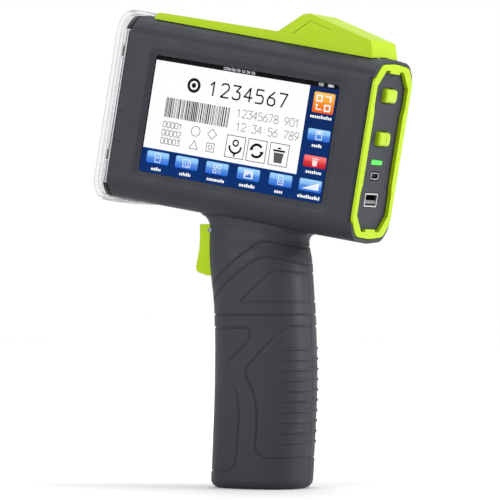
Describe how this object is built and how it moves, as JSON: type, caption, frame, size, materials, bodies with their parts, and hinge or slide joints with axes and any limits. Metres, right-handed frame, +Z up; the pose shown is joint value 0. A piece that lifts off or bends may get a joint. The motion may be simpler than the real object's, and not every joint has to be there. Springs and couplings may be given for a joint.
{
  "type": "date code inkjet printer",
  "caption": "Handheld inkjet coder with a tilted head, touch screen, hinged cartridge lid, clear end cap and a pistol handle with a trigger.",
  "frame": {"origin": "middle of the flat underside of the handle", "axes": "+Z up through the handle; -X is the printing end and the trigger side; the screen faces -Y; the button and socket panel faces +X; the head is tilted 10 degrees about Y, printing end up"},
  "size_m": [0.1494, 0.044, 0.2269],
  "materials": {
    "casing_plastic": "fine satin grain",
    "green_plastic": "satin",
    "clear_plastic": "polished, clear",
    "black_plastic": "satin",
    "steel": "satin",
    "nozzle_metal": "plated",
    "roller_plastic": "satin",
    "liner_film": "smooth",
    "circuit_board": "coated",
    "lamp_plastic": "lit, clear",
    "screen_glass": "polished, dark when off",
    "display": "metal-framed panel",
    "cell_sleeve": "shrink sleeve",
    "screw_steel": "blackened"
  },
  "bodies": {
    "body": {"screen_side_casing": "casing_plastic", "far_side_casing": "casing_plastic", "end_panel": "casing_plastic", "base_plate": "casing_plastic", "end_trim_ring": "green_plastic", "front_frame": "black_plastic", "ink_cartridge": "black_plastic", "cartridge_cradle": "black_plastic", "upper_button_switch": "black_plastic", "lower_button_switch": "black_plastic", "trigger_switch": "black_plastic", "battery_holder": "black_plastic", "lid_hinge_pin": "steel", "trigger_pin": "steel", "trigger_spring": "steel", "nozzle_guide_plate": "steel", "usb_c_socket": "steel", "usb_a_socket": "steel", "cartridge_nozzle_plate": "nozzle_metal", "front_liner": "liner_film", "contact_board": "circuit_board", "port_board": "circuit_board", "main_board": "circuit_board", "status_lamp": "lamp_plastic", "touch_glass": "screen_glass", "lcd_module": "display", "battery_cell_front": "cell_sleeve", "battery_cell_rear": "cell_sleeve", "base_plate_screw": "screw_steel", "screw_front_upper": "screw_steel", "screw_front_lower": "screw_steel", "screw_rear_upper": "screw_steel", "screw_rear_lower": "screw_steel", "screw_handle_upper": "screw_steel", "screw_handle_lower": "screw_steel"},
    "lid": {"cartridge_lid": "green_plastic"},
    "cap": {"print_end_cap": "clear_plastic"},
    "trigger_lever": {"trigger": "green_plastic"},
    "upper_button": {"upper_button": "green_plastic"},
    "lower_button": {"lower_button": "green_plastic"},
    "roller_near_upper": {"guide_roller_near_upper": "roller_plastic"},
    "roller_near_lower": {"guide_roller_near_lower": "roller_plastic"},
    "roller_far_upper": {"guide_roller_far_upper": "roller_plastic"},
    "roller_far_lower": {"guide_roller_far_lower": "roller_plastic"}
  },
  "joints": [
    {"name": "lid_hinge", "type": "hinge", "parent": "body", "child": "lid", "pos_m": [0.05914, 0, 0.20414], "axis": [0, 1, 0], "range_deg": [0, 90]},
    {"name": "cap_slide", "type": "slide", "parent": "body", "child": "cap", "axis": [-0.9848, 0, 0.1736], "range_m": [0, 0.03]},
    {"name": "trigger_pull", "type": "hinge", "parent": "body", "child": "trigger_lever", "pos_m": [-0.0222, 0, 0.1213], "axis": [0, -1, 0], "range_deg": [0, 6], "stiffness_Nm_per_rad": 0.1, "springref_deg": -5.73, "deforming": ["trigger_spring"]},
    {"name": "upper_button_press", "type": "slide", "parent": "body", "child": "upper_button", "axis": [-0.9848, 0, 0.1736], "range_m": [0, 0.0008], "stiffness_N_per_m": 500, "springref_m": -0.0008},
    {"name": "lower_button_press", "type": "slide", "parent": "body", "child": "lower_button", "axis": [-0.9848, 0, 0.1736], "range_m": [0, 0.0008], "stiffness_N_per_m": 500, "springref_m": -0.0008},
    {"name": "roller_near_upper_spin", "type": "hinge", "parent": "body", "child": "roller_near_upper", "pos_m": [-0.0623, -0.0179, 0.20646], "axis": [0.1736, 0, 0.9848], "continuous": true},
    {"name": "roller_near_lower_spin", "type": "hinge", "parent": "body", "child": "roller_near_lower", "pos_m": [-0.07095, -0.0179, 0.15742], "axis": [0.1736, 0, 0.9848], "continuous": true},
    {"name": "roller_far_upper_spin", "type": "hinge", "parent": "body", "child": "roller_far_upper", "pos_m": [-0.0623, 0.0179, 0.20646], "axis": [0.1736, 0, 0.9848], "continuous": true},
    {"name": "roller_far_lower_spin", "type": "hinge", "parent": "body", "child": "roller_far_lower", "pos_m": [-0.07095, 0.0179, 0.15742], "axis": [0.1736, 0, 0.9848], "continuous": true}
  ]
}
